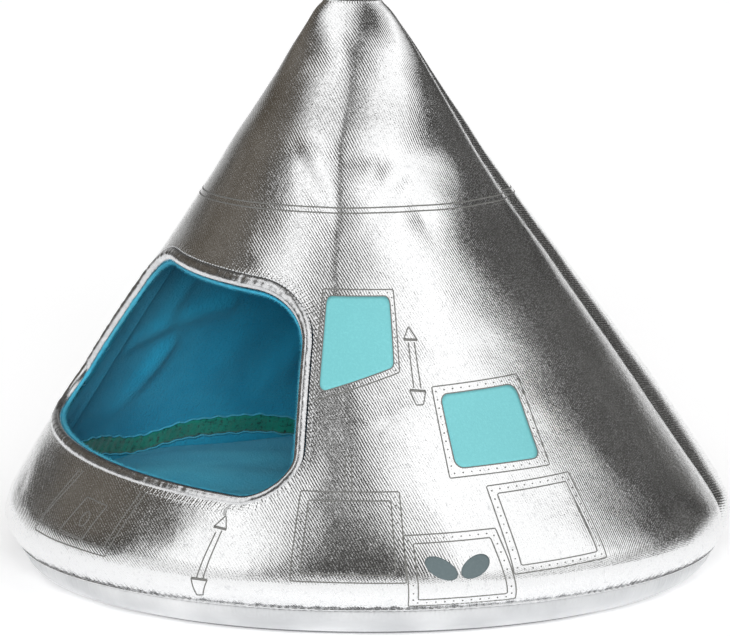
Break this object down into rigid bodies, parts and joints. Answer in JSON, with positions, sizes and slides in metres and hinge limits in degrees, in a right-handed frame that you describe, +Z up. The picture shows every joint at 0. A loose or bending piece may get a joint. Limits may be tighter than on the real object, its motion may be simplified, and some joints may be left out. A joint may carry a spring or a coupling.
{
  "type": "soft capsule-shaped pet bed",
  "caption": "Soft sewn pet bed, a silver padded cone with a rounded entrance in its side, a plush lining, a floor cushion and a round padded base.",
  "frame": {"origin": "middle of the flat underside, on the floor", "axes": "+Z up, -Y out through the entrance, +X to the right for someone facing the entrance"},
  "size_m": [0.4594, 0.4594, 0.3655],
  "materials": {
    "silver_cloth": "foil-faced silver twill with thin printed lines, satin and reflective",
    "silver_hem": "foil-faced silver cloth, rolled and stitched",
    "teal_plush": "short-pile teal plush, matt",
    "green_tape": "woven green tape with dark flecks",
    "grey_underside": "plain matt grey woven cloth"
  },
  "bodies": {
    "root": {"outer_front_left_panel": "silver_cloth", "outer_front_right_panel": "silver_cloth", "outer_back_right_panel": "silver_cloth", "outer_back_left_panel": "silver_cloth", "lining_front_panel": "teal_plush", "lining_back_panel": "teal_plush", "entrance_hem": "silver_hem", "base_cover": "silver_cloth", "base_seam_welt": "silver_hem", "underside_panel": "grey_underside", "floor_cushion": "teal_plush", "floor_tape": "green_tape"}
  },
  "joints": []
}
